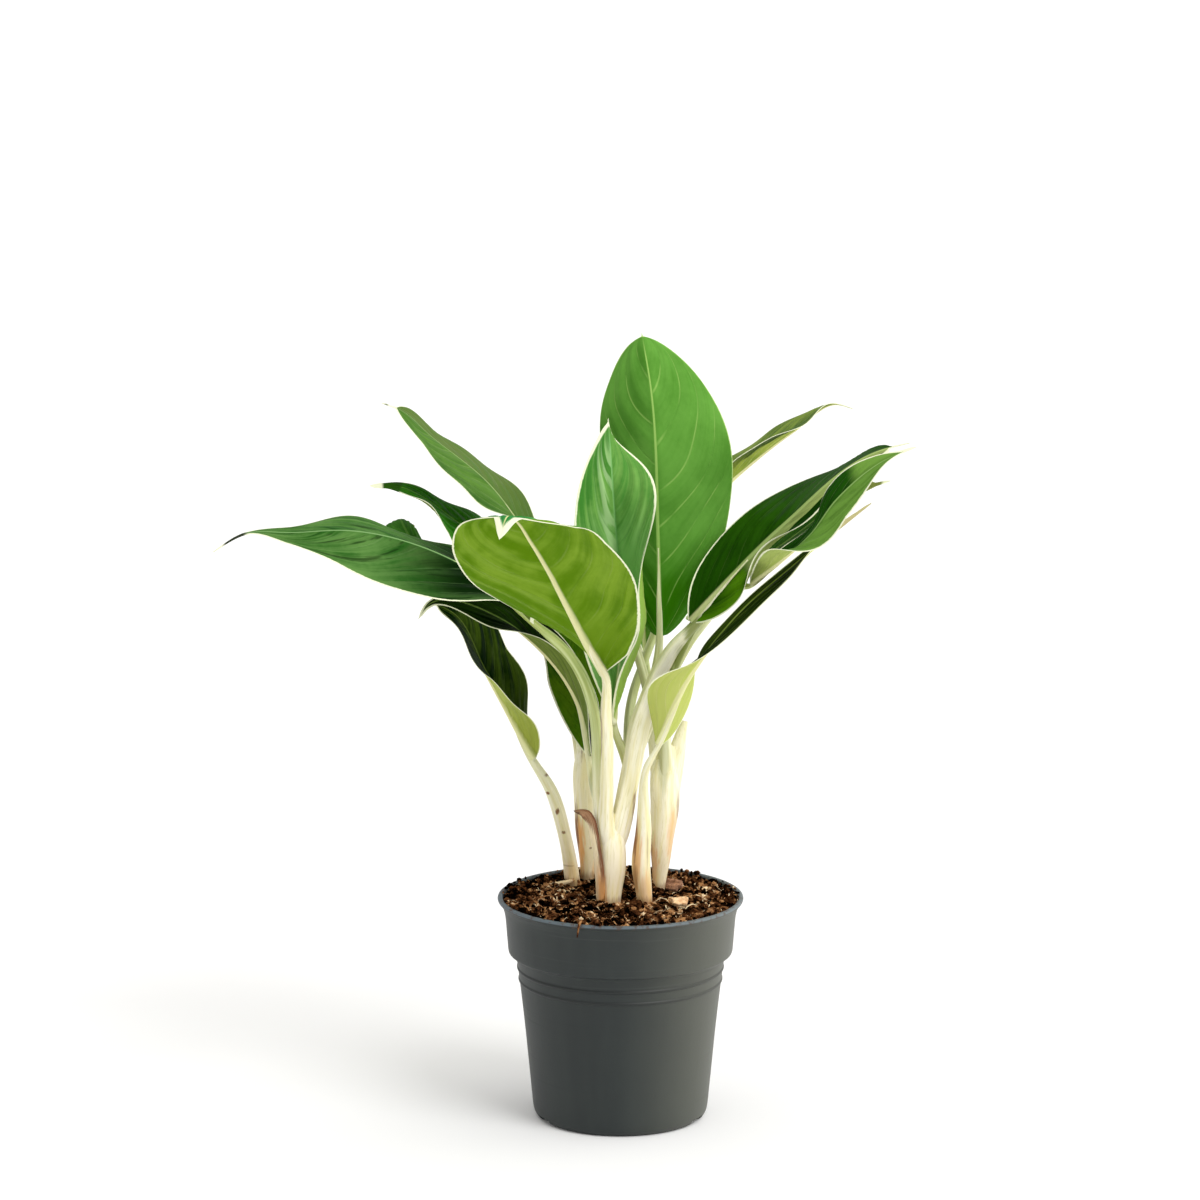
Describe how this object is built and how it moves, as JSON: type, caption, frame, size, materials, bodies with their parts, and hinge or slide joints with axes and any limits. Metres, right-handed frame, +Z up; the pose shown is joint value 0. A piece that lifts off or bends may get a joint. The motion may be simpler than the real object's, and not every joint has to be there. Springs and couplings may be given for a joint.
{
  "type": "potted chinese evergreen",
  "caption": "Young foliage plant with cream-edged green leaves on pale stalks, standing in a filled round nursery pot.",
  "frame": {"origin": "middle of the pot's flat underside, on the surface it stands on", "axes": "+Z up along the pot's axis, -Y towards the side that shows the big pale-backed leaf, +X to that view's right"},
  "size_m": [0.3334, 0.2159, 0.3842],
  "materials": {
    "pot_plastic": "satin",
    "potting_soil": "matte",
    "stalk": "satin",
    "leaf": "satin",
    "dried_sheath": "matte",
    "tan_chip": "matte",
    "brown_chip": "matte"
  },
  "bodies": {
    "root": {"brown_chip": "brown_chip", "dried_sheath": "dried_sheath", "leaf_back_centre": "leaf", "leaf_back_low": "leaf", "leaf_cane": "leaf", "leaf_front": "leaf", "leaf_left_bent": "leaf", "leaf_left_high": "leaf", "leaf_left_long": "leaf", "leaf_left_low": "leaf", "leaf_left_mid": "leaf", "leaf_right_back": "leaf", "leaf_right_big": "leaf", "leaf_right_high": "leaf", "leaf_right_low": "leaf", "leaf_right_twist": "leaf", "leaf_tall": "leaf", "leaf_young": "leaf", "pot": "pot_plastic", "shoot_back": "stalk", "shoot_front": "stalk", "shoot_left": "stalk", "shoot_right": "stalk", "shoot_thin": "stalk", "soil": "potting_soil", "tan_chip": "tan_chip"}
  },
  "joints": []
}
